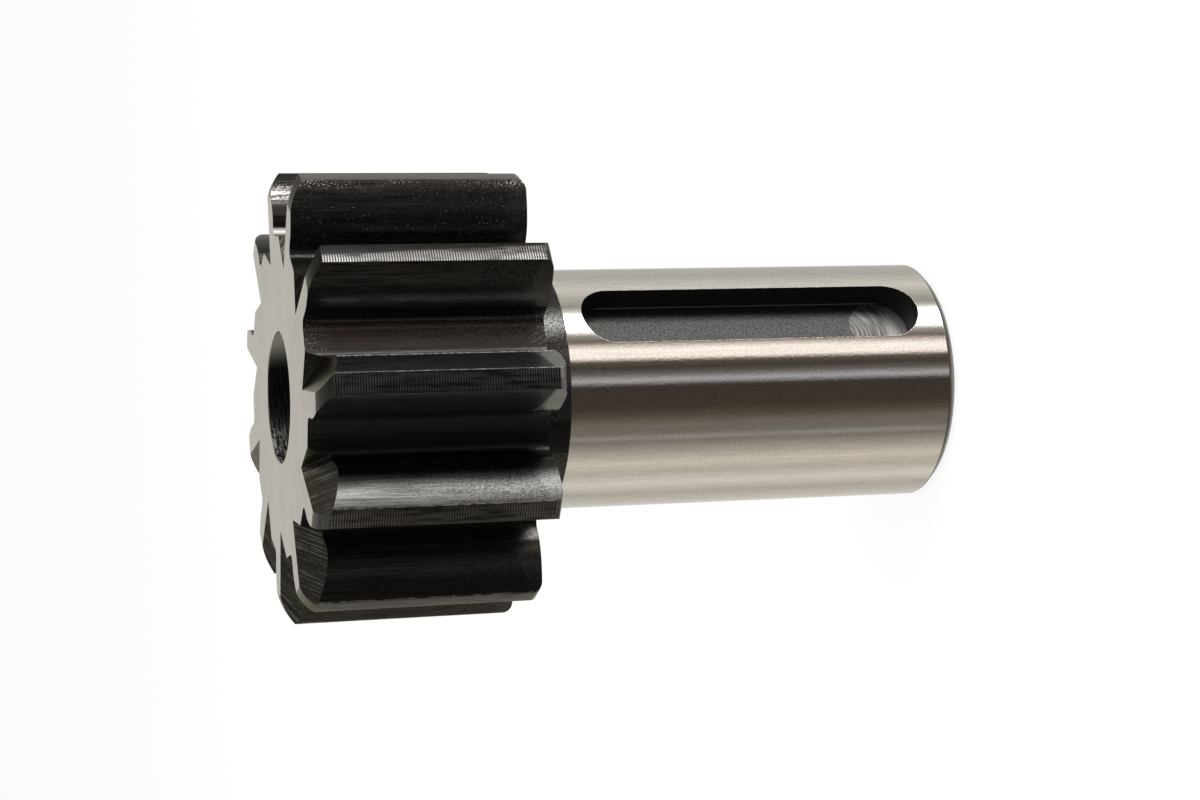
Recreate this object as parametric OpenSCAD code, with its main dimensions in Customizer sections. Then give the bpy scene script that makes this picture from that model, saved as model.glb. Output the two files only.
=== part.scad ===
// Starter pinion gear: a toothed head and a keyed shank in one piece of steel.
// It stands on the end of its shank. The origin is the centre of that end face,
// +Z runs up the axis to the front face, and the keyway faces +X.
// All lengths are in millimetres and all angles in degrees.

/* [Overall] */
// Length from the shank's end face to the front face of the teeth
total_l = 83; // [78:0.5:90]
// Length of the toothed head along the axis
head_l = 28.6; // [24:0.1:32]
// Length of the unground collar behind the head
collar_l = 4; // [2.5:0.1:5]
// Diameter of the unground collar
collar_d = 30.4; // [30.4:0.1:34]
// Diameter of the bore that runs right through
bore_d = 16; // [10:0.1:18]

/* [Teeth] */
// Number of teeth
teeth = 11; // [10:1:13]
// Module, which is the pitch diameter for each tooth
gear_module = 4.233; // [4.1:0.001:4.5]
// Pressure angle of the involute flanks
pressure_angle = 20; // [18:0.5:22]
// Height of a tooth above the pitch circle
addendum = 4.52; // [4:0.01:4.7]
// Depth of a tooth space below the pitch circle
dedendum = 3.8; // [3.4:0.01:4]
// Thickness of a tooth, measured along the pitch circle
tooth_t = 6.86; // [6.7:0.01:7.2]
// Radius of the fillet at the bottom of a tooth space
root_fillet = 1.2; // [0.6:0.05:1.4]
// Angle from the keyway's centre to the nearest tooth's centre
tooth_to_keyway = -1.4; // [-16:0.1:16]

/* [Front end of the teeth] */
// How far the turned lead-in reaches down from the tips on the front face
lead_in_r = 3.2; // [1:0.1:4]
// How far the turned lead-in reaches along the axis
lead_in_l = 1.5; // [1:0.1:3]
// Radius to which the lead-in is turned, which makes it bulge a little
lead_in_round = 7; // [4:0.5:20]
// Slope of the milled engagement ramp, down from the front face
ramp_slope = 36; // [30:1:45]
// How far the ramp's inner corner lies inside the root circle
ramp_inset = 3.1; // [2:0.1:4]
// Turn of the ramp's upper edge away from the tooth's centre line
ramp_lean = 5; // [0:0.5:8]
// Turn of the ramp's shoulder, outward from square to its upper edge
ramp_shoulder = 32; // [24:1:38]

/* [Rear end of the teeth] */
// Radius on the rear corners of the teeth
rear_round = 1.1; // [0.5:0.1:2]
// Fillet between the rear of the head and the collar
neck_fillet = 1.5; // [0.5:0.1:2]

/* [Shank] */
// Diameter of the ground shank
shank_d = 30; // [28:0.1:30.2]
// Chamfer on the shank's end
end_chamfer = 1.1; // [0.5:0.1:2]

/* [Keyway] */
// Width of the keyway, which is also the diameter of its round ends
key_w = 8; // [6:0.1:10]
// Depth of the keyway below the shank's surface
key_depth = 4; // [3:0.1:4.5]
// Length of the keyway over its round ends
key_l = 44; // [30:0.5:44]
// Distance from the shank's end face to the keyway
key_gap = 4; // [2.5:0.1:5]

/* [Hidden] */

pitch_r = teeth * gear_module / 2;
base_r = pitch_r * cos(pressure_angle);
tip_r = pitch_r + addendum;
root_r = pitch_r - dedendum;
tooth_pitch = 360 / teeth;

head_z = total_l - head_l;
collar_z = head_z - collar_l;
shank_r = shank_d / 2;
collar_r = collar_d / 2;
bore_r = bore_d / 2;
key_floor = shank_r - key_depth;

// Steps along one involute flank, one small fillet and one root arc
flank_steps = 10;
fillet_steps = 5;
root_steps = 4;
// How far a cutter overshoots the face that it cuts through
over = 2;
round_fn = 96;

function polar(r, a) = [r * cos(a), r * sin(a)];

// Roll angle of the involute between the base circle and radius r
function involute(r) = tan(acos(base_r / r)) * 180 / PI - acos(base_r / r);

// Half of the angle that a tooth takes up at the base circle
half_tooth = tooth_t / 2 / pitch_r * 180 / PI + involute(pitch_r);
// Half of the angle that a tooth space takes up at the base circle and at radius r
half_gap = tooth_pitch / 2 - half_tooth;
function half_gap_at(r) = half_gap + involute(r);

// The root fillet touches the radial foot of the flank and the root circle
fillet_centre_r = root_r + root_fillet;
fillet_angle = asin(root_fillet / fillet_centre_r);
fillet_centre_a = half_gap - fillet_angle;

// One side of a tooth space, from the middle of its root out past the tip
function gap_side() = concat(
    [for (i = [0:root_steps]) polar(root_r, fillet_centre_a * i / root_steps)],
    [for (i = [1:fillet_steps])
        polar(fillet_centre_r, fillet_centre_a)
        + polar(root_fillet, fillet_centre_a + 180 - (90 - fillet_angle) * i / fillet_steps)],
    [for (i = [0:flank_steps])
        let (r = base_r + (tip_r + over - base_r) * i / flank_steps) polar(r, half_gap_at(r))]
);

function mirrored(points) = [for (i = [len(points) - 1:-1:1]) [points[i][0], -points[i][1]]];

// The lead-in's arc passes through its edge on the tip and its edge on the front face
lead_in_steps = 5;
lead_in_chord = norm([lead_in_r, lead_in_l]);
lead_in_half = asin(lead_in_chord / 2 / lead_in_round);
lead_in_facing = atan2(lead_in_r, lead_in_l);
lead_in_centre = [tip_r - lead_in_r / 2, total_l - lead_in_l / 2]
    - polar(lead_in_round * cos(lead_in_half), lead_in_facing);

// The turned blank before any tooth is cut, as a profile beside the axis
module blank_profile() {
    arc_steps = 6;
    polygon(concat(
        [[0, 0], [shank_r - end_chamfer, 0], [shank_r, end_chamfer], [shank_r, collar_z],
         [collar_r, collar_z]],
        [for (i = [0:arc_steps]) [collar_r + neck_fillet, head_z - neck_fillet]
            + polar(neck_fillet, 180 - 90 * i / arc_steps)],
        [for (i = [0:arc_steps]) [tip_r - rear_round, head_z + rear_round]
            + polar(rear_round, -90 + 90 * i / arc_steps)],
        [for (i = [0:lead_in_steps]) lead_in_centre
            + polar(lead_in_round, lead_in_facing + lead_in_half * (2 * i / lead_in_steps - 1))],
        [[0, total_l]]
    ));
}

module blank() {
    rotate_extrude($fn = round_fn) blank_profile();
}

// One tooth space, straight through the head and open at both ends
module tooth_space() {
    translate([0, 0, head_z - over])
        linear_extrude(head_l + 2 * over)
            polygon(concat(gap_side(), mirrored(gap_side())));
}

// The cutter's path for one engagement ramp. It slopes down from a line near
// the tooth's centre, towards the side that meets the ring gear first, and
// stops inside against a square shoulder.
module ramp_cut() {
    reach = 20;
    next_flank = tooth_pitch * 0.58;
    intersection() {
        translate([root_r - ramp_inset, 0, total_l])
            rotate([0, 0, -ramp_lean])
                rotate([-ramp_slope, 0, 0])
                    linear_extrude(reach)
                        polygon([[-over * tan(ramp_shoulder), -over], [reach, -over],
                                 [reach, reach], [reach * tan(ramp_shoulder), reach]]);
        translate([0, 0, head_z])
            linear_extrude(head_l + over)
                polygon([[0, 0], polar(2 * tip_r, -tooth_pitch / 2), polar(2 * tip_r, next_flank)]);
    }
}

module keyway() {
    for (z = [key_gap + key_w / 2, key_gap + key_l - key_w / 2])
        translate([key_floor, 0, z])
            rotate([0, 90, 0]) cylinder(h = key_depth + over, d = key_w, $fn = round_fn);
    translate([key_floor, -key_w / 2, key_gap + key_w / 2])
        cube([key_depth + over, key_w, key_l - key_w]);
}

module bore() {
    translate([0, 0, -over]) cylinder(h = total_l + 2 * over, r = bore_r, $fn = round_fn);
}

module starter_pinion() {
    color("dimgray") difference() {
        blank();
        for (i = [0:teeth - 1]) rotate([0, 0, tooth_to_keyway + i * tooth_pitch]) {
            rotate([0, 0, tooth_pitch / 2]) tooth_space();
            ramp_cut();
        }
        keyway();
        bore();
    }
}

starter_pinion();
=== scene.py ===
"""Starter pinion gear: the finished surfaces of a one-piece keyed pinion.

The pinion is made again here the way a machine shop makes it: a turned blank,
tooth spaces, milled engagement ramps and a keyway. Every machined surface then
gets its own finish. Lengths are metres in the frame of the CAD model.
"""

import logging
import math
from dataclasses import dataclass, field
from enum import IntEnum
from typing import Callable, Sequence

import bpy
from mathutils import Matrix, Vector

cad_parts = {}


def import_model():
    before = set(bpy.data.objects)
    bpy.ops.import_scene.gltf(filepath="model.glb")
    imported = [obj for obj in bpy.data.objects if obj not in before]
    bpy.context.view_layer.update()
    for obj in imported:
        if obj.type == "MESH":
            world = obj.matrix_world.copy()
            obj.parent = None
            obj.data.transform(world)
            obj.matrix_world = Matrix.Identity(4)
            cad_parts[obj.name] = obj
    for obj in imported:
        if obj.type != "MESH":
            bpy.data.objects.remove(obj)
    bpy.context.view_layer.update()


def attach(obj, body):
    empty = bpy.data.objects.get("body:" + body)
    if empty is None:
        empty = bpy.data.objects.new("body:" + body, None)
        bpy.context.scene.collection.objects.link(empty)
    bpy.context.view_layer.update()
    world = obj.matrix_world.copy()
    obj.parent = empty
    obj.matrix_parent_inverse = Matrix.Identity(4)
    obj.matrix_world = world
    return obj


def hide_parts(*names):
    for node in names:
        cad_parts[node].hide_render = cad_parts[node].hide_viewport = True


MM = 0.001
PHOTO_WIDTH_PX = 1200
SENSOR_MM = 36.0
# How far a cutter overshoots the face that it cuts through
OVER = 2 * MM
# Chords along a root arc, along a fillet or a rounded corner, and along a flank
ROOT_STEPS, ARC_STEPS, FLANK_STEPS = 4, 8, 16
# Distance and share of a normal within which a face counts as lying on a plane
NEAR, FLAT = 0.01 * MM, 0.99
# Edges that turn by more than this stay sharp, in degrees
SHARP = 24.0
# Cosines of the angle from a tooth's centre between which the marks of that one tooth end: its own
# wear and stain, and the highlights, glints and shade painted on it
ONE_TOOTH = (0.955, 0.975)
# Near-black steel, painted as shade in the tooth roots and on flanks that face a neighbouring
# tooth
SHADE_BLACK = (0.013, 0.0127, 0.0122)
# Place and watts of each soft box, the width of all, and the height that they aim at
SOFT_BOXES = {"overhead": ((0.10, 0.05, 0.75), 6.0), "front": ((0.55, -0.45, 0.45), 4.0)}
SOFT_BOX_WIDTH, AIM_Z = 0.6, 0.04

Piece = bpy.types.Object
Triple = tuple[float, float, float]

log = logging.getLogger("starter_pinion")


class Surface(IntEnum):
    """The machined surfaces of the pinion. Each one has a finish of its own."""

    OXIDE, GROUND_SHANK, FRONT_FACE, RAMP, LEAD_IN = range(5)
    TIP_LAND, BORE, KEY_WALL, KEY_FLOOR, SHANK_END = range(5, 10)


def flat(x: float, y: float) -> Vector:
    """Returns a point on the XY plane."""
    return Vector((x, y, 0.0))


def polar(radius: float, angle: float) -> Vector:
    """Returns the point at a radius and an angle in radians, on the XY plane."""
    return flat(radius * math.cos(angle), radius * math.sin(angle))


def arc(centre: Vector, radius: float, start: float, end: float, steps: int) -> list[Vector]:
    """Points along an arc, both ends included.

    Args:
        centre: Centre of the arc.
        radius: Radius of the arc.
        start: Angle of the first point, in degrees.
        end: Angle of the last point, in degrees.
        steps: Number of chords.

    Returns:
        The points in order.
    """
    first, turn = math.radians(start), math.radians(end - start)
    return [centre + polar(radius, first + turn * i / steps) for i in range(steps + 1)]


# Modelling


def focus(piece: Piece) -> None:
    """Makes one object the only selected one, and the active one."""
    bpy.ops.object.select_all(action="DESELECT")
    piece.select_set(True)
    bpy.context.view_layer.objects.active = piece


def edit_all(piece: Piece) -> None:
    """Opens a piece in edit mode with all of it selected."""
    focus(piece)
    bpy.ops.object.mode_set(mode="EDIT")
    bpy.ops.mesh.select_all(action="SELECT")


def close_mesh(merge: float = 1e-7) -> None:
    """Merges doubled points, turns all faces outwards and leaves edit mode."""
    bpy.ops.mesh.select_all(action="SELECT")
    bpy.ops.mesh.remove_doubles(threshold=merge)
    bpy.ops.mesh.normals_make_consistent(inside=False)
    bpy.ops.object.mode_set(mode="OBJECT")


def turned(name: str, profile: Sequence[tuple[float, float]], segments: int) -> Piece:
    """Turns a closed ring from its profile, one station after another.

    The first station is a circle of edges. Each further station extrudes the
    last circle, moves it along the axis and scales it to its radius.

    Args:
        name: Name of the new object.
        profile: Radius and height of each station. The last one meets the first.
        segments: Number of segments round the axis.

    Returns:
        The turned piece, closed and with its faces pointing outwards.
    """
    radius, height = profile[0]
    bpy.ops.mesh.primitive_circle_add(vertices=segments, radius=radius, location=(0, 0, height))
    piece = bpy.context.object
    piece.name = name
    bpy.ops.object.transform_apply(location=True, rotation=False, scale=False)
    edit_all(piece)
    for next_radius, next_height in [*profile[1:], profile[0]]:
        bpy.ops.mesh.extrude_region_move(
            TRANSFORM_OT_translate={"value": (0, 0, next_height - height)}
        )
        scale = next_radius / radius
        bpy.ops.transform.resize(value=(scale, scale, 1), center_override=(0, 0, next_height))
        radius, height = next_radius, next_height
    close_mesh()
    return piece


def prism(name: str, outline: Sequence[Vector], low: float, high: float) -> Piece:
    """A straight solid on any outline.

    Args:
        name: Name of the new object.
        outline: The corners in order, on the XY plane.
        low: Height of the lower end.
        high: Height of the upper end.

    Returns:
        The closed solid.
    """
    bpy.ops.mesh.primitive_circle_add(vertices=len(outline), radius=1, fill_type="NGON")
    piece = bpy.context.object
    piece.name = name
    for vertex, corner in zip(piece.data.vertices, outline):
        vertex.co = (corner.x, corner.y, low)
    edit_all(piece)
    bpy.ops.mesh.extrude_region_move(TRANSFORM_OT_translate={"value": (0, 0, high - low)})
    close_mesh()
    return piece


def place(piece: Piece, matrix: Matrix) -> None:
    """Moves a piece's mesh, so that its object stays at the origin."""
    piece.data.transform(matrix)
    piece.data.update()


def ring_of_copies(piece: Piece, count: int, first: float) -> Piece:
    """Copies a piece round the axis and joins the copies.

    Args:
        piece: The piece at angle 0. It becomes part of the ring.
        count: Number of copies.
        first: Angle of the first copy, in radians.

    Returns:
        The joined ring.
    """
    copies = [piece]
    for i in range(1, count):
        copy = piece.copy()
        copy.data = piece.data.copy()
        bpy.context.collection.objects.link(copy)
        place(copy, Matrix.Rotation(first + i * math.tau / count, 4, "Z"))
        copies.append(copy)
    place(piece, Matrix.Rotation(first, 4, "Z"))
    focus(piece)
    for copy in copies:
        copy.select_set(True)
    bpy.ops.object.join()
    return piece


def cut(piece: Piece, cutter: Piece, keep: bool = False) -> None:
    """Cuts a solid by another and deletes the cutter.

    Args:
        piece: The solid to cut.
        cutter: The cutting solid.
        keep: True keeps what both solids share, False takes the cutter away.
    """
    modifier = piece.modifiers.new("cut", "BOOLEAN")
    modifier.operation = "INTERSECT" if keep else "DIFFERENCE"
    modifier.solver = "EXACT"
    modifier.object = cutter
    focus(piece)
    bpy.ops.object.modifier_apply(modifier=modifier.name)
    bpy.data.objects.remove(cutter, do_unlink=True)


# The pinion


@dataclass
class ToothForm:
    """The involute teeth, as their tooth spaces.

    Attributes:
        teeth: Number of teeth.
        module: Pitch diameter for each tooth.
        pressure_angle: Pressure angle in degrees.
        addendum: Height of a tooth above the pitch circle.
        dedendum: Depth of a tooth space below the pitch circle.
        thickness: Thickness of a tooth along the pitch circle.
        root_fillet: Radius at the bottom of a tooth space.
        edge_round: Radius on the long edges of the tip land.
        first_tooth: Angle of the first tooth from +X, in degrees.
    """

    teeth: int = 11
    module: float = 4.233 * MM
    pressure_angle: float = 20.0
    addendum: float = 4.52 * MM
    dedendum: float = 3.80 * MM
    thickness: float = 6.86 * MM
    root_fillet: float = 1.2 * MM
    edge_round: float = 0.22 * MM
    first_tooth: float = -1.4

    @property
    def pitch_r(self) -> float:
        """Returns the pitch radius."""
        return self.teeth * self.module / 2

    @property
    def base_r(self) -> float:
        """Returns the base circle's radius."""
        return self.pitch_r * math.cos(math.radians(self.pressure_angle))

    @property
    def tip_r(self) -> float:
        """Returns the tip radius."""
        return self.pitch_r + self.addendum

    @property
    def root_r(self) -> float:
        """Returns the root radius."""
        return self.pitch_r - self.dedendum

    @property
    def step(self) -> float:
        """Returns the angle from one tooth to the next, in radians."""
        return math.tau / self.teeth

    def involute(self, radius: float) -> float:
        """Returns the involute angle at a radius, in radians."""
        pressure = math.acos(self.base_r / radius)
        return math.tan(pressure) - pressure

    def half_tooth(self, radius: float) -> float:
        """Returns half of the angle that a tooth takes up at a radius."""
        at_pitch = self.thickness / 2 / self.pitch_r
        return at_pitch + self.involute(self.pitch_r) - self.involute(max(radius, self.base_r))

    def space_side(self) -> list[Vector]:
        """Returns one side of a tooth space, from its middle to past the tip."""
        half_gap = self.step / 2 - self.half_tooth(self.base_r)
        centre_r = self.root_r + self.root_fillet
        lean = math.asin(self.root_fillet / centre_r)
        floor = half_gap - lean
        points = [polar(self.root_r, floor * i / ROOT_STEPS) for i in range(ROOT_STEPS + 1)]
        start = math.degrees(floor) + 180
        end = start - 90 + math.degrees(lean)
        points += arc(polar(centre_r, floor), self.root_fillet, start, end, ARC_STEPS)[1:]
        top = self.tip_r - self.edge_round
        for i in range(FLANK_STEPS + 1):
            radius = self.base_r + (top - self.base_r) * i / FLANK_STEPS
            points.append(polar(radius, self.step / 2 - self.half_tooth(radius)))
        edge = self.step / 2 - self.half_tooth(top)
        # Two chords round the tip's edge, and then the space opens out past the tip
        for rise, turn in ((-0.35 * self.edge_round, 0.56), (0.0, 1.2), (OVER, 4)):
            points.append(polar(self.tip_r + rise, edge + turn * self.edge_round / top))
        return points

    def space_outline(self) -> list[Vector]:
        """Returns the whole outline of one tooth space, centred on +X."""
        side = self.space_side()
        return side + [flat(p.x, -p.y) for p in reversed(side[1:])]


@dataclass
class EngagementRamp:
    """The milled ramp on the leading half of each tooth's front end.

    Attributes:
        slope: Slope of the ramp, down from the front face, in degrees.
        inset: How far its inner corner lies inside the root circle.
        lean: Turn of its upper edge away from the tooth's centre line.
        shoulder: Turn of its shoulder, outward from square to that edge.
        clear: Share of the tooth pitch at which the cutter stops, short of the next tooth.
        depth: Depth below the front face at which the cutter stops.
    """

    slope: float = 36.0
    inset: float = 3.1 * MM
    lean: float = 5.0
    shoulder: float = 32.0
    clear: float = 0.58
    depth: float = 15.0 * MM

    def frame(self, form: ToothForm, front: float) -> Matrix:
        """Returns the ramp's own frame on the tooth at angle 0: Z is its normal."""
        return (
            Matrix.Translation((form.root_r - self.inset, 0, front))
            @ Matrix.Rotation(-math.radians(self.lean), 4, "Z")
            @ Matrix.Rotation(-math.radians(self.slope), 4, "X")
        )

    def cutter(self, form: ToothForm, front: float) -> Piece:
        """Builds the cutter for the tooth at angle 0.

        Args:
            form: The teeth that the ramp is cut into.
            front: Height of the front face.

        Returns:
            The cutter, clear of the next tooth.
        """
        reach = 20 * MM
        turn = math.tan(math.radians(self.shoulder))
        outline = [(-OVER * turn, -OVER), (reach, -OVER), (reach, reach), (reach * turn, reach)]
        block = prism("ramp_cutter", [flat(x, y) for x, y in outline], 0, reach)
        place(block, self.frame(form, front))
        sides = (-form.step / 2, form.step * self.clear)
        sector = [flat(0, 0), *(polar(2 * form.tip_r, side) for side in sides)]
        cut(block, prism("ramp_sector", sector, front - self.depth, front + OVER), keep=True)
        return block


@dataclass
class Blank:
    """The turned blank: head, collar, shank and bore.

    Attributes:
        length: Overall length.
        head: Length of the toothed head.
        collar: Length of the unground collar.
        collar_r: Radius of the collar.
        shank_r: Radius of the ground shank.
        bore_r: Radius of the bore.
        lead_in: Radial and axial reach of the lead-in on the tips.
        lead_in_round: Radius to which the lead-in is turned.
        rear_round: Radius on the rear corners of the teeth.
        neck_fillet: Fillet between the head and the collar.
        end_chamfer: Chamfer on the shank's end.
        mouth: Rounding of the bore's mouths and the collar's edge.
        segments: Number of segments round the axis.
    """

    length: float = 83.0 * MM
    head: float = 28.6 * MM
    collar: float = 4.0 * MM
    collar_r: float = 15.2 * MM
    shank_r: float = 15.0 * MM
    bore_r: float = 8.0 * MM
    lead_in: tuple[float, float] = (3.2 * MM, 1.5 * MM)
    lead_in_round: float = 7.0 * MM
    rear_round: float = 1.1 * MM
    neck_fillet: float = 1.5 * MM
    end_chamfer: float = 1.1 * MM
    mouth: float = 0.12 * MM
    segments: int = 176

    @property
    def head_z(self) -> float:
        """Returns the height of the head's rear face."""
        return self.length - self.head

    @property
    def collar_z(self) -> float:
        """Returns the height at which the collar meets the ground shank."""
        return self.head_z - self.collar

    def lead_in_arc(self, tip_r: float) -> tuple[Vector, float, float]:
        """Returns the lead-in's centre, as radius and height, and its ends in degrees."""
        facing = math.degrees(math.atan2(*self.lead_in))
        half = math.degrees(math.asin(math.hypot(*self.lead_in) / 2 / self.lead_in_round))
        middle = flat(tip_r - self.lead_in[0] / 2, self.length - self.lead_in[1] / 2)
        reach = self.lead_in_round * math.cos(math.radians(half))
        return middle - polar(reach, math.radians(facing)), facing - half, facing + half

    def profile(self, tip_r: float) -> list[tuple[float, float]]:
        """Returns the radius and height of each station, up the outside and down the bore."""
        soft = self.mouth
        ease = flat(soft, soft) * 0.7
        neck = flat(self.collar_r + self.neck_fillet, self.head_z - self.neck_fillet)
        rear = flat(tip_r - self.rear_round, self.head_z + self.rear_round)
        low = flat(self.shank_r - self.end_chamfer, 0)
        high = flat(self.shank_r, self.end_chamfer)
        centre, start, end = self.lead_in_arc(tip_r)
        points = [
            flat(self.bore_r + soft, 0),
            low - flat(soft, 0),
            low + ease,
            high - ease,
            high + flat(0, soft),
            flat(self.shank_r, self.collar_z),
            flat(self.collar_r - soft, self.collar_z),
            flat(self.collar_r, self.collar_z + soft),
            *arc(neck, self.neck_fillet, 180, 90, ARC_STEPS),
            *arc(rear, self.rear_round, -90, 0, ARC_STEPS),
            *arc(centre, self.lead_in_round, start, end, ARC_STEPS),
            flat(self.bore_r + soft, self.length),
            flat(self.bore_r, self.length - soft),
            flat(self.bore_r, soft),
        ]
        return [(p.x, p.y) for p in points]

    def build(self, tip_r: float) -> Piece:
        """Returns the turned blank, with solid metal out to the tip radius."""
        return turned("pinion", self.profile(tip_r), self.segments)


@dataclass
class Keyway:
    """The closed keyway in the shank, which faces +X.

    Attributes:
        width: Width, which is also the diameter of the round ends.
        depth: Depth below the shank's surface.
        length: Length over the round ends.
        gap: Distance from the shank's end to the keyway.
        end_steps: Number of chords in each round end.
    """

    width: float = 8.0 * MM
    depth: float = 4.0 * MM
    length: float = 44.0 * MM
    gap: float = 4.0 * MM
    end_steps: int = 24

    def outline(self) -> list[Vector]:
        """Returns the keyway's outline with its long side along X."""
        radius = self.width / 2
        ends = []
        for middle, start in ((self.gap + self.length - radius, -90), (self.gap + radius, 90)):
            ends += arc(flat(middle, 0), radius, start, start + 180, self.end_steps)
        return ends

    def cutter(self, shank_r: float) -> Piece:
        """Returns the cutter, standing along the shank."""
        floor = shank_r - self.depth
        slot = prism("key_cutter", self.outline(), floor, shank_r + OVER)
        upright = Matrix(((0, 0, 1, 0), (0, 1, 0, 0), (1, 0, 0, 0), (0, 0, 0, 1)))
        place(slot, upright)
        edit_all(slot)
        close_mesh()
        return slot


@dataclass
class Pinion:
    """The whole pinion: it is machined from the blank, then each surface is named."""

    form: ToothForm = field(default_factory=ToothForm)
    ramp: EngagementRamp = field(default_factory=EngagementRamp)
    blank: Blank = field(default_factory=Blank)
    keyway: Keyway = field(default_factory=Keyway)

    def tooth_spaces(self) -> Piece:
        """Returns the cutters of all the tooth spaces, joined."""
        low, high = self.blank.head_z - OVER, self.blank.length + OVER
        space = prism("space_cutter", self.form.space_outline(), low, high)
        first = math.radians(self.form.first_tooth) + self.form.step / 2
        return ring_of_copies(space, self.form.teeth, first)

    def ramps(self) -> Piece:
        """Returns the cutters of all the ramps, joined."""
        cutter = self.ramp.cutter(self.form, self.blank.length)
        return ring_of_copies(cutter, self.form.teeth, math.radians(self.form.first_tooth))

    def build(self) -> Piece:
        """Machines the pinion.

        Returns:
            The finished mesh, with smooth shading and one material index for
            each machined surface.
        """
        piece = self.blank.build(self.form.tip_r)
        cut(piece, self.tooth_spaces())
        cut(piece, self.ramps())
        cut(piece, self.keyway.cutter(self.blank.shank_r))
        self.clean(piece)
        self.name_surfaces(piece)
        self.true_round(piece)
        return piece

    def clean(self, piece: Piece) -> None:
        """Merges stray points and shades the curved faces smooth."""
        edit_all(piece)
        close_mesh(merge=1e-6)
        bpy.ops.object.shade_smooth_by_angle(angle=math.radians(SHARP))

    def surface_at(self, centre: Vector, normal: Vector) -> Surface:
        """Tells which machined surface a face belongs to.

        Args:
            centre: The face's centre.
            normal: The face's normal.

        Returns:
            The surface that the face is part of.
        """
        blank, form = self.blank, self.form
        radius = math.hypot(centre.x, centre.y)
        if normal.z > FLAT and centre.z > blank.length - NEAR:
            return Surface.FRONT_FACE
        if radius < blank.bore_r + blank.mouth - NEAR:
            return Surface.BORE
        if centre.z < blank.collar_z - NEAR:
            return self.shank_surface(centre, normal, radius)
        if centre.z > blank.length - self.ramp.depth and normal.z > 0.1:
            sideways = abs(normal.x * centre.y - normal.y * centre.x) / radius
            reach = flat(radius, centre.z) - blank.lead_in_arc(form.tip_r)[0]
            on_arc = abs(reach.length - blank.lead_in_round) < 0.06 * MM
            return Surface.LEAD_IN if on_arc and sideways < 0.2 else Surface.RAMP
        if radius > form.tip_r - 0.05 * MM:
            return Surface.TIP_LAND
        return Surface.OXIDE

    def shank_surface(self, centre: Vector, normal: Vector, radius: float) -> Surface:
        """Tells which surface of the ground shank a face belongs to."""
        key = self.keyway
        inside = abs(centre.y) < key.width / 2 + NEAR and centre.x > 0
        if inside and key.gap - MM < centre.z < key.gap + key.length + MM:
            if normal.x > FLAT and radius < self.blank.shank_r - 0.5 * key.depth:
                return Surface.KEY_FLOOR
            if radius < self.blank.shank_r - 0.02 * MM:
                return Surface.KEY_WALL
        if centre.z < 0.7 * self.blank.end_chamfer or normal.z < -0.05:
            return Surface.SHANK_END
        return Surface.GROUND_SHANK

    def name_surfaces(self, piece: Piece) -> None:
        """Gives every face the material index of its machined surface."""
        for finish in FINISHES:
            piece.data.materials.append(finish().material(self))
        for face in piece.data.polygons:
            face.material_index = self.surface_at(face.center, face.normal)

    def true_round(self, piece: Piece) -> None:
        """Shades the shank and the tip lands as true cylinders, right up to their edges."""
        mesh = piece.data
        normals = [flat(0, 0)] * len(mesh.loops)
        turned_faces = (Surface.GROUND_SHANK, Surface.TIP_LAND)
        for face in mesh.polygons:
            if face.material_index not in turned_faces or abs(face.normal.z) > 0.01:
                continue
            for loop, vertex in zip(face.loop_indices, face.vertices):
                at = mesh.vertices[vertex].co
                normals[loop] = flat(at.x, at.y).normalized()
        mesh.normals_split_custom_set(normals)


# Finishes


def math_operator(operation: str, swapped: bool = False) -> Callable[..., "Sock"]:
    """Makes a Python operator that adds a Math node, or a Vector Math node for a tuple.

    Args:
        operation: The node's operation.
        swapped: True where the other value comes first, as in 1 - mask.

    Returns:
        The method for a shader socket.
    """

    def method(self: "Sock", *others: object) -> "Sock":
        """Returns what the new node gives."""
        kind = "VectorMath" if others and isinstance(others[0], tuple) else "Math"
        values = (*others, self) if swapped else (self, *others)
        return Nodes(self.tree).add(kind, {"operation": operation}, values)

    return method


class Sock:
    """A shader socket that can be used in Python sums."""

    def __init__(self, tree: bpy.types.NodeTree, socket: bpy.types.NodeSocket) -> None:
        """Wraps a socket of a node tree."""
        self.tree = tree
        self.socket = socket

    __add__, __radd__ = math_operator("ADD"), math_operator("ADD", swapped=True)
    __sub__, __rsub__ = math_operator("SUBTRACT"), math_operator("SUBTRACT", swapped=True)
    __mul__, __rmul__ = math_operator("MULTIPLY"), math_operator("MULTIPLY", swapped=True)
    __truediv__, __rtruediv__ = math_operator("DIVIDE"), math_operator("DIVIDE", swapped=True)
    __pow__, __rpow__ = math_operator("POWER"), math_operator("POWER", swapped=True)
    __gt__, __lt__ = math_operator("GREATER_THAN"), math_operator("LESS_THAN")
    __abs__, floor = math_operator("ABSOLUTE"), math_operator("FLOOR")
    sine, cosine = math_operator("SINE"), math_operator("COSINE")
    arctan2, modulo = math_operator("ARCTAN2"), math_operator("FLOORED_MODULO")

    def clamp(self) -> "Sock":
        """Returns self held between 0 and 1."""
        return Nodes(self.tree).add("Math", {"operation": "ADD", "use_clamp": True}, (self, 0.0))


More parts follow.
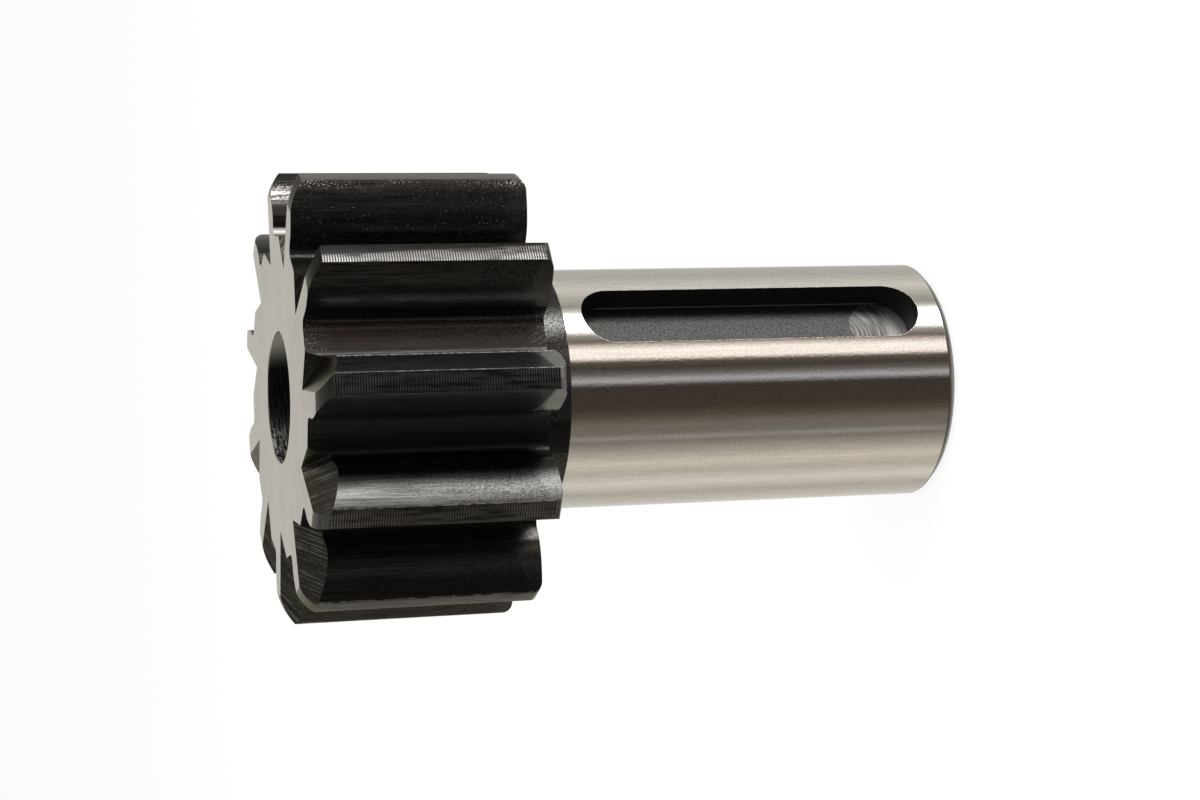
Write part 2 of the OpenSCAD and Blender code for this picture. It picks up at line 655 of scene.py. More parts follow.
class Nodes:
    """Adds nodes to a tree and links their inputs."""

    def __init__(self, tree: bpy.types.NodeTree) -> None:
        """Takes the tree that the nodes go into."""
        self.tree = tree

    def add(
        self,
        kind: str,
        settings: dict[str, object] | None = None,
        inputs: Sequence[object] | dict[object, object] = (),
        output: object = 0,
    ) -> Sock:
        """Adds one node.

        Args:
            kind: The node's type, without ShaderNode in front.
            settings: Its properties, set before its inputs. Ramp stops go under
                "stops" as pairs of position and colour.
            inputs: Values or sockets, in order or by name.
            output: Name or index of the output to return.

        Returns:
            The output, wrapped.
        """
        node = self.tree.nodes.new("ShaderNode" + kind)
        for name, value in (settings or {}).items():
            if name == "stops":
                self.set_stops(node.color_ramp, value)
            else:
                setattr(node, name, value)
        pairs = inputs.items() if isinstance(inputs, dict) else enumerate(inputs)
        for key, value in pairs:
            self.feed(node.inputs[key], value)
        return Sock(self.tree, node.outputs[output])

    def feed(self, target: bpy.types.NodeSocket, value: object) -> None:
        """Links a socket to an input, or sets the input's own value."""
        if isinstance(value, Sock):
            self.tree.links.new(value.socket, target)
            return
        wants_four = target.type == "RGBA" and len(value) == 3
        target.default_value = (*value, 1.0) if wants_four else value

    def show(self, kind: str, shader: Sock) -> None:
        """Links a shader to the tree's output, which is of the given type."""
        self.feed(self.tree.nodes.new("ShaderNode" + kind).inputs[0], shader)

    @staticmethod
    def set_stops(ramp: bpy.types.ColorRamp, stops: Sequence[tuple[float, Triple]]) -> None:
        """Sets a colour ramp's stops."""
        while len(ramp.elements) < len(stops):
            ramp.elements.new(0.5)
        for element, (position, colour) in zip(ramp.elements, stops):
            element.position = position
            element.color = (*colour, 1.0)

    def mix(self, factor: object, first: object, second: object) -> Sock:
        """Returns a colour between two, by a factor from 0 to 1."""
        settings = {"data_type": "RGBA"}
        return self.add("Mix", settings, {0: factor, 6: first, 7: second}, output=2)

    def noise(self, vector: Sock, scale: float, detail: float = 3.0, rough: float = 0.55) -> Sock:
        """Returns fractal noise from 0 to 1."""
        values = {"Vector": vector, "Scale": scale, "Detail": detail, "Roughness": rough}
        return self.add("TexNoise", {}, values)

    def step(self, value: Sock, low: float, high: float) -> Sock:
        """Returns a smooth rise from 0 at low to 1 at high."""
        values = {"Value": value, "From Min": low, "From Max": high}
        return self.add("MapRange", {"interpolation_type": "SMOOTHSTEP"}, values)

    def vector(self, x: object, y: object, z: object) -> Sock:
        """Returns a vector from three values."""
        return self.add("CombineXYZ", {}, (x, y, z))

    def parts(self, vector: Sock) -> tuple[Sock, Sock, Sock]:
        """Returns a vector's three values."""
        node = self.add("SeparateXYZ", {}, (vector,)).socket.node
        return tuple(Sock(self.tree, node.outputs[i]) for i in range(3))

    def spot(self) -> Sock:
        """Returns the place on the object, in metres."""
        return self.add("TexCoord", output="Object")

    def turned_point(self, turn: Triple, at: Vector) -> Sock:
        """Returns the place on the object, moved to a point and turned, in metres."""
        settings = {"vector_type": "TEXTURE"}
        return self.add("Mapping", settings, {0: self.spot(), 1: at, 2: turn})

    def round_axis(self) -> tuple[Sock, Sock, Sock, Sock]:
        """Returns the place on the object, its radius, its angle and its height."""
        spot = self.spot()
        x, y, z = self.parts(spot)
        return spot, (x * x + y * y) ** 0.5, y.arctan2(x), z

    def facing(self, angle: Sock, at: float) -> Sock:
        """Returns 1 at an angle in degrees, falling to -1 on the opposite side."""
        return (angle - math.radians(at)).cosine()

    def on_tooth(self, angle: Sock, at: float) -> Sock:
        """Returns 1 on the tooth at an angle in degrees, and 0 on the others."""
        return self.step(self.facing(angle, at), *ONE_TOOTH)

    def by_tooth(self, form: ToothForm, angle: Sock) -> tuple[Sock, Sock]:
        """Returns the number of the tooth and the angle from its centre line."""
        turn = angle - math.radians(form.first_tooth) + form.step / 2
        tooth = (turn / form.step).floor()
        return tooth, turn - tooth * form.step - form.step / 2


def empty_nodes(holder: bpy.types.Material | bpy.types.World) -> Nodes:
    """Turns on the nodes of a material or a world and returns them, emptied."""
    holder.use_nodes = True
    holder.node_tree.nodes.clear()
    return Nodes(holder.node_tree)


@dataclass
class Look:
    """What a finish feeds to its shader.

    Attributes:
        colour: Base colour.
        rough: Roughness.
        relief: Height of the fine relief, as a share of its depth.
        depth: Depth of the fine relief.
        metallic: Share of bare metal.
    """

    colour: Sock
    rough: Sock
    relief: Sock
    depth: float
    metallic: object = 1.0


class Finish:
    """A surface finish. Each kind adds its own colour, gloss and fine relief."""

    name: str = "finish"
    edge: float = 0.10 * MM
    grazing_tint: Triple = (1.0, 1.0, 1.0)

    def material(self, pinion: Pinion) -> bpy.types.Material:
        """Builds the material of this finish for a pinion."""
        made = bpy.data.materials.new(self.name)
        nodes = empty_nodes(made)
        look = self.pattern(nodes, pinion)
        relief = {
            "Height": look.relief,
            "Strength": 1.0,
            "Distance": look.depth,
            "Normal": nodes.add("Bevel", {"samples": 4}, {"Radius": self.edge}),
        }
        values = {
            "Base Color": look.colour,
            "Roughness": look.rough,
            "Metallic": look.metallic,
            "Specular Tint": self.grazing_tint,
            "Normal": nodes.add("Bump", {}, relief),
        }
        nodes.show("OutputMaterial", nodes.add("BsdfPrincipled", {}, values))
        return made

    def pattern(self, nodes: Nodes, pinion: Pinion) -> Look:
        """Returns what this finish looks like."""
        raise NotImplementedError


class BlackOxide(Finish):
    """Hardened and blackened steel, as cut, with a brown cast and with bright specks that are
    painted glints.

    Attributes:
        speck_glint_tooth: Angle of the tooth whose flank has bright specks as painted glints.
        front_glint_tooth: Angle of the tooth whose flank has painted glints at the front.
        contact_and_sheen: Angle of the tooth that is polished at its rear and paler there as a
            painted reflection, with painted shade on its trailing flank.
        burnish_and_sheen: Angle of the tooth that shows burnish where it leads, lightened there as
            a painted highlight.
        stained: Angle of the tooth space that is brown, with painted glints at both ends.
        glint_r: Radius of the upper painted glints on that flank.
        foot_glint_r: Radius of the glint near its foot.
        polish_sheen_reach: How far the polished patch and its painted reflection reach from the
            rear, on a slant.
    """

    name: str = "black_oxide"
    speck_glint_tooth: float = 31.3
    front_glint_tooth: float = 64.0
    contact_and_sheen: float = -34.1
    burnish_and_sheen: float = -66.8
    stained: float = -17.7
    glint_r: float = 25.1 * MM
    foot_glint_r: float = 20.1 * MM
    polish_sheen_reach: float = 12.3 * MM

    def pattern(self, nodes: Nodes, pinion: Pinion) -> Look:
        """Returns near-black steel with streaks along the teeth.

        The grain is round towards the rear. One root is browner, and the roots are
        darkened as painted shade, with painted glints at both ends. Some edges and
        feet carry painted highlights in dashes.
        """
        form, blank = pinion.form, pinion.blank
        spot, radius, angle, height = nodes.round_axis()
        _, local = nodes.by_tooth(form, angle)
        streak = nodes.noise(spot * (1.0, 1.0, 0.04), 4000.0, 3.0, 0.65)
        grain = nodes.noise(spot * (1.0, 1.0, 0.7), 4600.0, 2.0, 0.7)
        cloud = nodes.noise(spot * (1.0, 1.0, 0.25), 330.0, 3.0)
        dashes = nodes.noise(spot * (0.15, 0.15, 1.0), 1300.0, 3.0, 0.65)
        glint_grain = nodes.noise(spot, 3600.0, 2.0)
        glint_noise = nodes.noise(spot * (1.0, 1.0, 0.6), 6800.0, 2.0)
        head_z, head_l = blank.head_z, blank.head
        rear = 1.0 - nodes.step(height, head_z + 0.15 * head_l, head_z + 0.75 * head_l)
        texture = streak + (grain - streak) * (0.25 + rear * 0.6)
        head = nodes.step(height, head_z - 0.3 * MM, head_z)
        root = head - head * nodes.step(radius, form.root_r + 0.5 * MM, form.root_r + 2.2 * MM)
        contact_and_sheen_tooth = nodes.on_tooth(angle, self.contact_and_sheen)
        stained = root * nodes.on_tooth(angle, self.stained)
        from_middle = abs(height - (head_z + 0.5 * head_l))
        ends = nodes.step(from_middle + cloud * 2.0 * MM, 0.41 * head_l, 0.50 * head_l)

        leading = (local > 0.0) * nodes.on_tooth(angle, self.burnish_and_sheen)
        high = nodes.step(radius, form.pitch_r + 0.1 * MM, form.pitch_r + 1.1 * MM)
        # Burnish on the upper part of that leading flank, lightened further as a painted highlight
        burnish_and_sheen = leading * high * (1.0 - rear * 0.35)
        light = nodes.mix(head, (0.075, 0.074, 0.071), (0.054, 0.052, 0.049))
        light = nodes.mix(burnish_and_sheen, light, (0.105, 0.104, 0.101))
        # Painted shade: the roots, all but the stained one, are darkened towards near-black
        light = nodes.mix((root - stained) * 0.7, light, SHADE_BLACK)
        # Painted shade on the lower part of that leading flank, which faces the next tooth
        light = nodes.mix(leading * (1.0 - high) * 0.7, light, SHADE_BLACK)
        # Painted shade on the trailing flank of one tooth
        light = nodes.mix(contact_and_sheen_tooth * (local < 0.0) * 0.5, light, SHADE_BLACK)
        dark = nodes.mix(burnish_and_sheen * 0.15, (0.015, 0.0147, 0.0142), light)
        colour = nodes.mix(nodes.step(texture, 0.34, 0.66), dark, light)
        brown = nodes.step(streak * 0.6 + cloud * 0.4, 0.38, 0.62) * stained * 0.75
        colour = nodes.mix(brown, colour, (0.034, 0.024, 0.020))

        # A polished patch at the rear, paler as a painted reflection, strongest on one tooth
        polish_sheen_reach = head_z + self.polish_sheen_reach
        low_rear = 1.0 - nodes.step(height + radius * 0.4, polish_sheen_reach, polish_sheen_reach + 0.5 * MM)
        contact_and_sheen = low_rear * nodes.step(radius, form.pitch_r - 0.6 * MM, form.pitch_r + 0.2 * MM)
        contact_and_sheen = contact_and_sheen * (0.12 + contact_and_sheen_tooth * 0.7)
        colour = nodes.mix(contact_and_sheen, colour, (0.17, 0.17, 0.165))

        # Painted glints: bright specks near the tip and over the flank of one tooth, and at both
        # ends of the roots
        tip = nodes.step(radius + cloud * 2.4 * MM, form.tip_r + 0.1 * MM, form.tip_r + 1.4 * MM)
        tip = tip * nodes.step(cloud, 0.40, 0.56) * nodes.step(glint_noise, 0.55, 0.66)
        painted_glints = (tip + nodes.step(glint_noise, 0.67, 0.73) * 0.5) * nodes.on_tooth(angle, self.speck_glint_tooth)
        painted_glints = painted_glints + nodes.step(glint_noise, 0.54, 0.68) * ends * (root * 0.08 + stained * 0.22)
        # Painted glints at the front of one flank, in a band below the tip and as a dot near its
        # foot
        front = nodes.step(height, blank.length - 5.0 * MM, blank.length - 4.0 * MM)
        front_glints = 1.0 - nodes.step(abs(radius - self.glint_r), 0.5 * MM, 1.7 * MM)
        front_glints = front_glints * nodes.step(glint_grain * 0.4 + streak * 0.6, 0.44, 0.58) * 0.7
        front_glints = front_glints + 1.0 - nodes.step(abs(radius - self.foot_glint_r), 0.3 * MM, 0.6 * MM)
        front_glints = front_glints * front * nodes.on_tooth(angle, self.front_glint_tooth)
        # Painted highlights in dashes along the feet of the leading flanks and just under the
        # tips, strongest on one tooth
        foot_r = form.base_r + 0.45 * MM
        off_foot = abs(radius - foot_r) - contact_and_sheen_tooth * 1.1 * MM
        foot = (1.0 - nodes.step(off_foot, 0.05 * MM, 0.15 * MM)) * (0.1 + contact_and_sheen_tooth)
        rim = nodes.step(radius, form.tip_r - 0.20 * MM, form.tip_r - 0.12 * MM) * 0.35
        edges = (nodes.step(dashes, 0.44, 0.60) + contact_and_sheen_tooth * 0.5) * (foot + rim)
        # The painted highlights and glints are mixed towards pale steel and made less metallic
        wear_and_painted_light = (edges * (local > 0.0) + painted_glints + front_glints).clamp()
        colour = nodes.mix(wear_and_painted_light, colour, (0.36, 0.345, 0.33))
        rough = 0.22 + cloud * 0.08 + root * 0.1 + burnish_and_sheen * 0.06
        metallic = 0.95 - contact_and_sheen_tooth * 0.20 - wear_and_painted_light * 0.6
        return Look(colour, rough, texture + contact_and_sheen * 2.0, 0.006 * MM, metallic)


class GroundShank(Finish):
    """The ground and polished shank, which mirrors the room in crisp bands."""

    name: str = "ground_shank"
    edge: float = 0.03 * MM

    def pattern(self, nodes: Nodes, pinion: Pinion) -> Look:
        """Returns bright steel with a very fine grain and faint grinding lines."""
        spot = nodes.spot()
        lines = nodes.noise(spot * (0.02, 0.02, 1.0), 9000.0, 2.0, 0.6)
        grain = nodes.noise(spot * (1.0, 1.0, 0.7), 2600.0, 2.0, 0.6)
        drawn = nodes.noise(spot * (1.0, 1.0, 0.05), 3600.0, 2.0, 0.6)
        tone = nodes.noise(spot, 4800.0, 1.0) * 0.5 + drawn * 0.4 + lines * 0.1
        colour = nodes.mix(nodes.step(tone, 0.32, 0.68), (0.61, 0.60, 0.59), (0.77, 0.76, 0.75))
        return Look(colour, 0.06 + lines * 0.03, grain, 0.004 * MM)


class FrontFace(Finish):
    """The lapped front face: pale, flat and a little warm."""

    name: str = "front_face"

    def pattern(self, nodes: Nodes, pinion: Pinion) -> Look:
        """Returns pale steel with faint straight lapping lines."""
        point = nodes.turned_point((0.0, 0.0, math.radians(50)), flat(0, 0))
        lines = nodes.noise(point * (0.05, 1.0, 1.0), 4200.0, 2.0, 0.7)
        cloud = nodes.noise(point * (0.4, 1.0, 1.0), 260.0, 4.0)
        tone = nodes.step(lines * 0.35 + cloud * 0.65, 0.30, 0.70)
        colour = nodes.mix(tone, (0.226, 0.209, 0.183), (0.298, 0.277, 0.243))
        return Look(colour, 0.34 + cloud * 0.12, lines, 0.004 * MM, 0.6)


class MilledRamp(Finish):
    """The milled ramps: blackened, with the cutter's diagonal marks.

    Attributes:
        darkened: Angle of the tooth whose ramp is nearly all black, with faint milling lines.
    """

    name: str = "milled_ramp"
    darkened: float = -34.1
    grazing_tint: Triple = (0.90, 0.86, 0.78)

    def pattern(self, nodes: Nodes, pinion: Pinion) -> Look:
        """Returns dark brown steel with milling lines along the shoulder on every tooth."""
        spot, radius, angle, _ = nodes.round_axis()
        form, ramp = pinion.form, pinion.ramp
        tooth, local = nodes.by_tooth(form, angle)
        along = radius * local.cosine()
        across = radius * local.sine()
        lean = math.radians(ramp.lean)
        hinge = across * math.cos(lean) + along * math.sin(lean)
        out = along * math.cos(lean) - across * math.sin(lean)
        down = hinge / math.cos(math.radians(ramp.slope))
        shoulder = math.radians(ramp.shoulder)
        pass_line = out * math.cos(shoulder) - down * math.sin(shoulder)
        length = down * math.cos(shoulder) + out * math.sin(shoulder)
        cutter_lines = nodes.vector(pass_line * 4300.0, length * 60.0, tooth * 7.3)
        lines = nodes.noise(cutter_lines, 1.0, 3.0, 0.7)
        swell = nodes.noise(spot * (1.0, 1.0, 0.7), 420.0, 2.0)
        grain = nodes.noise(spot, 4500.0, 2.0)
        ridge = nodes.step(lines, 0.48, 0.66) * (0.3 + nodes.step(swell, 0.36, 0.60) * 0.7)
        ridge = ridge * (1.0 - nodes.on_tooth(angle, self.darkened) * 0.8)
        fine = nodes.step(grain, 0.34, 0.66)
        dull = nodes.mix(fine, (0.009, 0.0085, 0.0073), (0.024, 0.0225, 0.0193))
        colour = nodes.mix(ridge, dull, (0.125, 0.117, 0.102))
        relief = lines * 0.6 + grain * 0.25 + swell * 3.0
        return Look(colour, 0.26 + grain * 0.12, relief, 0.022 * MM, 0.92)


class LeadIn(Finish):
    """The turned lead-in on the tips: dark and finely turned, with an olive cast.

    Attributes:
        paler_at: Angle of the side on which the lead-ins are paler.
        olive_at: Angle of the side on which they are the most olive.
    """

    name: str = "lead_in"
    paler_at: float = -99.6
    olive_at: float = -118.0
    grazing_tint: Triple = (0.90, 0.87, 0.79)

    def pattern(self, nodes: Nodes, pinion: Pinion) -> Look:
        """Returns olive grey steel with turned lines and a fine grain."""
        spot, radius, angle, _ = nodes.round_axis()
        lines = nodes.noise(nodes.vector(angle * 3.0, 0.0, radius * 5200.0), 1.0, 2.0)
        grain = nodes.noise(spot, 4500.0, 2.0)
        tone = nodes.step(lines * 0.5 + grain * 0.5, 0.35, 0.65)
        paler = nodes.step(nodes.facing(angle, self.paler_at), 0.3, 0.85)
        olive = nodes.step(nodes.facing(angle, self.olive_at), 0.72, 0.90)
        dark = nodes.mix(paler, (0.010, 0.0097, 0.0088), (0.029, 0.0282, 0.0265))
        light = nodes.mix(paler, (0.034, 0.0335, 0.0305), (0.095, 0.0920, 0.0865))
        dark = nodes.mix(olive, dark, (0.042, 0.041, 0.029))
        light = nodes.mix(olive, light, (0.115, 0.112, 0.080))
        colour = nodes.mix(tone, dark, light)
        return Look(colour, 0.30 + lines * 0.1, lines + grain, 0.006 * MM)


class TipLand(Finish):
    """The tip lands: blackened over turned lines that run across each tooth.

    Attributes:
        pitch: Distance from one turned line to the next.
        half_shaded: Angle of the tooth whose land has painted shade on one side only.
        paler_at: Angle of the side on which the lands are painted paler, as a painted highlight.
    """

    name: str = "tip_land"
    pitch: float = 0.31 * MM
    half_shaded: float = -1.4
    paler_at: float = 64.0

    def pattern(self, nodes: Nodes, pinion: Pinion) -> Look:
        """Returns dark steel whose turned lines wear bright near both ends, with painted shade and
        highlight.
        """
        blank = pinion.blank
        spot, _, angle, height = nodes.round_axis()
        _, local = nodes.by_tooth(pinion.form, angle)
        scale = math.tau / 20 / self.pitch
        values = {"Vector": nodes.vector(height, 0.0, 0.0), "Scale": scale, "Distortion": 0.8}
        lines = nodes.add("TexWave", {"bands_direction": "X"}, values, output="Fac")
        wear = nodes.noise(spot * (2.5, 2.5, 0.35), 800.0, 3.0)
        off_centre = abs(height - (blank.head_z + 0.5 * blank.head))
        wear_and_painted_light = nodes.step(off_centre, 0.18 * blank.head, 0.42 * blank.head)
        # Painted shade on one side of one land, on a slant along its length
        slant = local + (height - blank.head_z) * 1.6
        darkened = nodes.on_tooth(angle, self.half_shaded) * nodes.step(slant, 0.024, 0.040)
        bright = nodes.step(lines, 0.3, 0.8) * (0.6 + wear_and_painted_light * 0.3) * nodes.step(wear, 0.30, 0.60)
        colour = nodes.mix(bright, (0.012, 0.0116, 0.0108), (0.155, 0.15, 0.144))
        colour = nodes.mix(darkened * 0.9, colour, (0.004, 0.004, 0.0037))
        # Painted highlight: the lands on one side are lightened
        paler = nodes.step(nodes.facing(angle, self.paler_at), 0.60, 0.80)
        colour = nodes.mix(paler * 0.6, colour, (0.15, 0.147, 0.138))
        return Look(colour, 0.18 + wear * 0.10, lines, 0.010 * MM, 0.92)


class Bore(Finish):
    """The drilled and blackened bore, with the tool's marks round it.

    Attributes:
        lit_side_at: Angle of the side whose mouth is painted light. The side opposite
            has bright streaks, which are painted glints.
    """

    name: str = "bore"
    lit_side_at: float = 53.3

    def pattern(self, nodes: Nodes, pinion: Pinion) -> Look:
        """Returns black steel with fine rings, and painted light and painted glints at two sides
        of the mouth.
        """
        spot, _, angle, height = nodes.round_axis()
        rings = nodes.noise(spot * (0.08, 0.08, 1.0), 5200.0, 3.0, 0.65)
        grain = nodes.noise(spot, 3600.0, 2.0)
        front = pinion.blank.length
        mouth = nodes.step(height, front - 13.0 * MM, front - 1.0 * MM)
        side = nodes.facing(angle, self.lit_side_at)
        # Painted light on one side of the mouth
        lit_side = nodes.step(side, 0.40, 0.97) * mouth
        far_side = nodes.step(0.0 - side, 0.25, 0.85) * mouth
        ringed = nodes.step(rings, 0.38, 0.64)
        colour = nodes.mix(ringed, (0.014, 0.013, 0.012), (0.055, 0.053, 0.050))
        colour = nodes.mix(lit_side, colour, (0.42, 0.40, 0.37))
        # Painted glints in streaks on the opposite side of the mouth
        streaks = nodes.step(rings * 0.6 + grain * 0.4, 0.44, 0.60)
        colour = nodes.mix(far_side * streaks, colour, (0.32, 0.31, 0.30))
        wear_and_painted_light = lit_side * 0.75 + far_side * streaks * 0.45
        return Look(colour, 0.24 + rings * 0.12, rings, 0.012 * MM, 0.95 - wear_and_painted_light)


class KeyWall(Finish):
    """The keyway's walls: milled and blackened."""

    name: str = "key_wall"

    def pattern(self, nodes: Nodes, pinion: Pinion) -> Look:
        """Returns near-black steel with faint milling marks down the walls."""
        _, radius, _, height = nodes.round_axis()
        marks = nodes.noise(nodes.vector(radius * 400.0, 0.0, height * 2500.0), 1.0, 2.0)
        colour = nodes.mix(marks, (0.010, 0.010, 0.010), (0.030, 0.029, 0.027))
        return Look(colour, 0.42 + marks * 0.1, marks, 0.01 * MM, 0.8)


class KeyFloor(Finish):
    """The keyway's floor: grainy dark grey, with swirls where the cutter went in."""

    name: str = "key_floor"

    def pattern(self, nodes: Nodes, pinion: Pinion) -> Look:
        """Returns grainy grey steel, with cutter swirls at the shank's end."""
        key = pinion.keyway
        centre = Vector((0, 0, key.gap + key.width / 2))
        point = nodes.turned_point((0.0, 0.0, 0.0), centre)
        _, across, along = nodes.parts(point)
        reach = (across * across + along * along) ** 0.5
        plunge = 1.0 - nodes.step(reach, 0.47 * key.width, 0.49 * key.width)
        behind = along - 0.75 * key.width
        low = across + 0.12 * key.width
        arcs = (low * low + behind * behind) ** 0.5
        swirl = nodes.noise(nodes.vector(arcs * 7400.0, across * 160.0, 0.0), 1.0, 2.0, 0.6)
        grain = nodes.noise(point, 5200.0, 2.0, 0.7)
        side = abs(across)
        shade = nodes.step(side, 0.26 * key.width, 0.44 * key.width) * (0.6 - plunge * 0.35)
        grainy, swirled = nodes.step(grain, 0.30, 0.70), nodes.step(swirl, 0.42, 0.66)
        plain = nodes.mix(grainy, (0.010, 0.010, 0.0097), (0.060, 0.060, 0.058))
        swept = nodes.mix(swirled, (0.030, 0.030, 0.029), (0.165, 0.163, 0.158))
        # Painted light that brightens the swirls towards the keyway's round end, where the end
        # wall darkens them
        far_end = nodes.step(0.0 - along, 0.05 * key.width, 0.30 * key.width)
        swept = nodes.mix(far_end * 0.6, swept, (0.34, 0.335, 0.325))
        colour = nodes.mix(shade, nodes.mix(plunge, plain, swept), (0.014, 0.014, 0.013))
        # Painted highlight: a thin light line along the floor's corner with each wall
        corner = nodes.step(side, 0.480 * key.width, 0.488 * key.width)
        colour = nodes.mix(corner * 0.7, colour, (0.30, 0.28, 0.26))
        relief = grain + (swirl - grain) * plunge
        return Look(colour, 0.34 + grain * 0.1, relief, 0.008 * MM, 0.92)


class ShankEnd(Finish):
    """The turned end of the shank and its chamfer."""

    name: str = "shank_end"

    def pattern(self, nodes: Nodes, pinion: Pinion) -> Look:
        """Returns grey steel with turned rings."""
        spot, radius, _, height = nodes.round_axis()
        rings = nodes.noise(nodes.vector(0.0, 0.0, (radius + height) * 5000.0), 1.0, 2.0)
        cloud = nodes.noise(spot, 200.0, 2.0)
        colour = nodes.mix(rings * 0.6 + cloud * 0.4, (0.10, 0.095, 0.080), (0.19, 0.18, 0.155))
        return Look(colour, 0.24 + rings * 0.08, rings, 0.003 * MM)


# One finish for each machined surface, in the order of Surface
FINISHES = (
    BlackOxide, GroundShank, FrontFace, MilledRamp, LeadIn,
    TipLand, Bore, KeyWall, KeyFloor, ShankEnd,
)


# The studio

# The panels and dark screens round the room, as the shank mirrors them: the angle
# on the shank, where 0 faces the camera and more is up in the picture, and the
# colour that the shank gives back there
PANELS = (
    (-80.0, 0.52, 0.50, 0.45),
    (-62.0, 0.39, 0.36, 0.31),
    (-53.0, 0.58, 0.55, 0.49),
    (-45.0, 0.42, 0.39, 0.33),
    (-39.0, 0.54, 0.49, 0.41),
    (-33.0, 0.34, 0.31, 0.26),
    (-26.8, 0.17, 0.15, 0.13),
    (-24.8, 0.25, 0.235, 0.21),
    (-23.0, 0.155, 0.138, 0.12),
    (-18.0, 0.14, 0.12, 0.10),
    (-14.0, 0.075, 0.060, 0.045),
    (-10.0, 0.045, 0.036, 0.027),
    (0.5, 0.040, 0.032, 0.026),
    (3.0, 0.37, 0.36, 0.37),
    (6.0, 0.11, 0.10, 0.09),
    (9.0, 0.050, 0.040, 0.032),
    (12.2, 0.09, 0.07, 0.055),
    (14.0, 0.95, 0.84, 0.74),
    (18.0, 0.97, 0.90, 0.82),
    (20.0, 0.56, 0.48, 0.41),
    (22.0, 0.13, 0.10, 0.08),
    (25.6, 0.30, 0.28, 0.25),
    (27.8, 1.2, 1.15, 1.05),
    (29.2, 8.2, 8.1, 8.0),
    (35.7, 8.2, 8.1, 8.0),
    (36.9, 1.2, 1.18, 1.10),
    (39.2, 0.52, 0.50, 0.45),
    (42.0, 0.29, 0.27, 0.23),
    (54.0, 0.56, 0.54, 0.49),
    (66.0, 0.38, 0.37, 0.33),
    (78.0, 0.37, 0.36, 0.33),
    (82.0, 0.44, 0.44, 0.43),
)


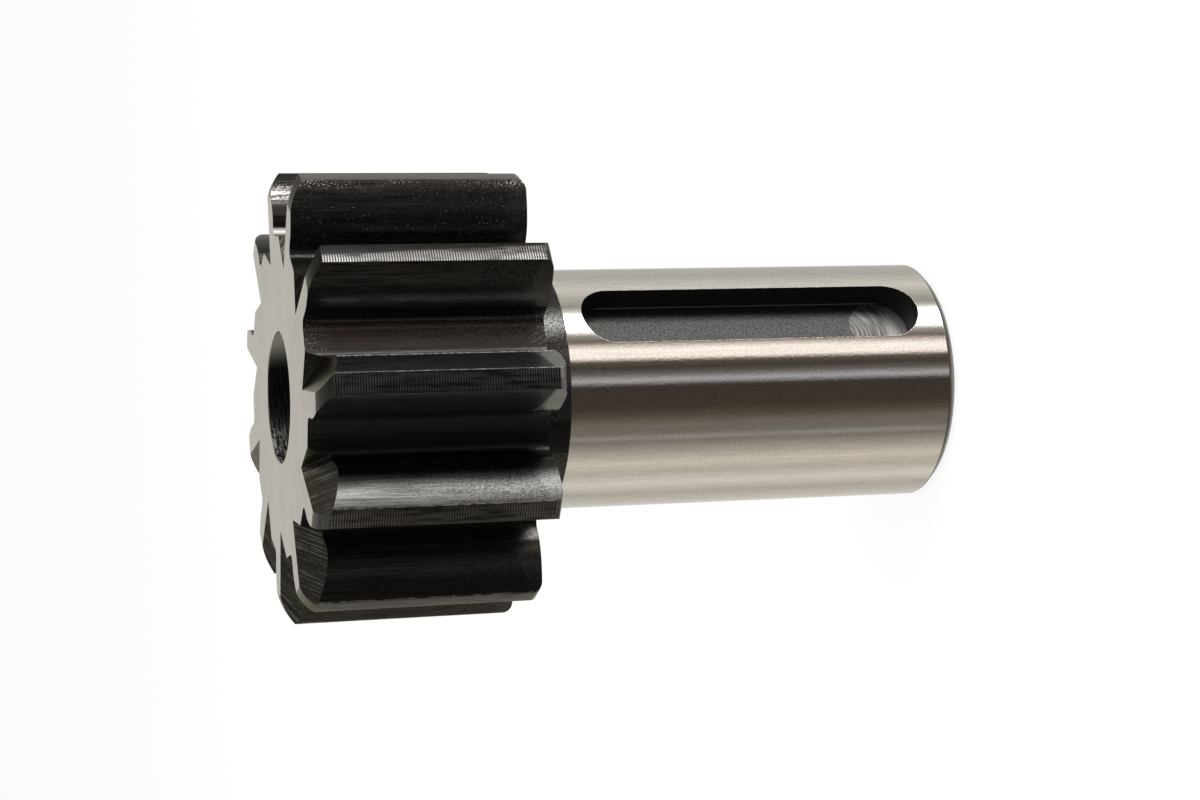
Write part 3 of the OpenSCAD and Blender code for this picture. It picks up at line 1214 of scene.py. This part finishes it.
@dataclass
class Studio:
    """Floor, soft light and the camera at the photograph's angle.

    Attributes:
        camera_at: Place of the lens.
        looks_at: A point on its line of sight.
        image_up: The direction that is up in the picture, which lies on its side.
        focal_px: Focal length in pixels of the photograph.
        shank_reflects: Share of the light that the ground shank gives back.
        ceiling: Brightness of the room above the panels.
        carpet: Brightness of the room below the panels.
        ceiling_at: Sines of the heights between which the panels end at the ceiling.
        carpet_at: Sines of the heights between which they end at the carpet.
        open_from: Share of a turn from the camera's side at which the room is open and white.
        floor_white: Share of plain white that the floor shows to the camera.
    """

    camera_at: Triple = (0.23947, -0.17862, 0.13287)
    looks_at: Triple = (-0.00097, -0.00118, 0.04234)
    image_up: Triple = (0.60062, 0.79901, -0.02895)
    focal_px: float = 2480.0
    shank_reflects: float = 0.69
    ceiling: Triple = (0.62, 0.61, 0.58)
    carpet: Triple = (0.40, 0.39, 0.35)
    ceiling_at: tuple[float, float] = (0.50, 0.62)
    carpet_at: tuple[float, float] = (-0.88, -0.78)
    open_from: float = 0.455
    floor_white: float = 0.88

    def camera(self) -> None:
        """Adds the camera. It lies on its side, because the pinion stands up."""
        data = bpy.data.cameras.new("camera")
        data.sensor_width = SENSOR_MM
        data.lens = self.focal_px * SENSOR_MM / PHOTO_WIDTH_PX
        data.clip_start = 0.01
        camera = bpy.data.objects.new("camera", data)
        bpy.context.collection.objects.link(camera)
        at = Vector(self.camera_at)
        back = (at - Vector(self.looks_at)).normalized()
        right = Vector(self.image_up).cross(back).normalized()
        turn = Matrix((right, back.cross(right), back)).transposed().to_4x4()
        camera.matrix_world = Matrix.Translation(at) @ turn
        bpy.context.scene.camera = camera

    def floor(self) -> None:
        """Adds the pale floor that the pinion stands on."""
        bpy.ops.mesh.primitive_plane_add(size=6, location=(0, 0, 0))
        floor = bpy.context.object
        floor.name = "floor"
        made = bpy.data.materials.new("pale_floor")
        nodes = empty_nodes(made)
        ray = nodes.add("LightPath", output="Is Camera Ray")
        plain = nodes.add("BsdfDiffuse", {}, {"Color": (0.86, 0.86, 0.86)})
        white = nodes.add("Emission", {}, {"Color": (1.0, 1.0, 1.0), "Strength": 1.0})
        shown = nodes.add("MixShader", {}, {0: ray * self.floor_white, 1: plain, 2: white})
        nodes.show("OutputMaterial", shown)
        floor.data.materials.append(made)
        floor.visible_glossy = False

    def world(self) -> None:
        """Makes the room: white to the camera, and upright soft light panels to the metal."""
        world = bpy.data.worlds.new("studio")
        bpy.context.scene.world = world
        nodes = empty_nodes(world)
        direction = nodes.add("TexCoord", output="Generated")
        x, y, z = nodes.parts(direction)
        camera_side = math.atan2(self.camera_at[1], self.camera_at[0])
        turn = y.arctan2(x) - camera_side + math.pi
        round_room = turn.modulo(math.tau) / math.tau
        panels = nodes.add("ValToRGB", {"stops": self.panels()}, (round_room,))
        panels = nodes.mix(nodes.step(z, *self.ceiling_at), panels, self.ceiling)
        panels = nodes.mix(1.0 - nodes.step(z, *self.carpet_at), panels, self.carpet)
        camera_ray = nodes.add("LightPath", output="Is Camera Ray")
        glossy_ray = nodes.add("LightPath", output="Is Glossy Ray")
        mirror_ray = glossy_ray + nodes.add("LightPath", output="Is Transmission Ray")
        open_side = abs(round_room - 0.5) > self.open_from
        colour = nodes.mix((camera_ray + mirror_ray * open_side).clamp(), panels, (1.0, 1.0, 1.0))
        nodes.show("OutputWorld", nodes.add("Background", {}, {"Color": colour, "Strength": 1.0}))

    def panels(self) -> list[tuple[float, tuple[float, ...]]]:
        """Returns the light round the room, from dark screens to bright panels.

        What the shank mirrors at an angle stands at twice that angle in the room.
        """
        share = self.shank_reflects
        return [(0.5 + at / 180, tuple(part / share for part in colour)) for at, *colour in PANELS]

    def soft_boxes(self) -> None:
        """Adds the soft boxes that light the floor and the pinion evenly."""
        for name, (at, watts) in SOFT_BOXES.items():
            data = bpy.data.lights.new(name, "AREA")
            data.shape = "SQUARE"
            data.size = SOFT_BOX_WIDTH
            data.energy = watts
            lamp = bpy.data.objects.new(name, data)
            bpy.context.collection.objects.link(lamp)
            lamp.location = at
            aim = Vector(at) - Vector((0, 0, AIM_Z))
            lamp.rotation_euler = aim.to_track_quat("Z", "Y").to_euler()
            lamp.visible_glossy = False

    def build(self) -> None:
        """Sets up the whole studio."""
        bpy.context.scene.view_settings.view_transform = "Standard"
        self.camera()
        self.floor()
        self.world()
        self.soft_boxes()


def main() -> None:
    """Builds the studio and the pinion and logs the pinion's number of faces."""
    logging.basicConfig(level=logging.INFO, format="%(name)s: %(message)s")
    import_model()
    Studio().build()
    piece = Pinion().build()
    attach(piece, "root")
    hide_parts("starter_pinion")
    log.info("%s: %d faces", piece.name, len(piece.data.polygons))


if __name__ == "__main__":
    main()
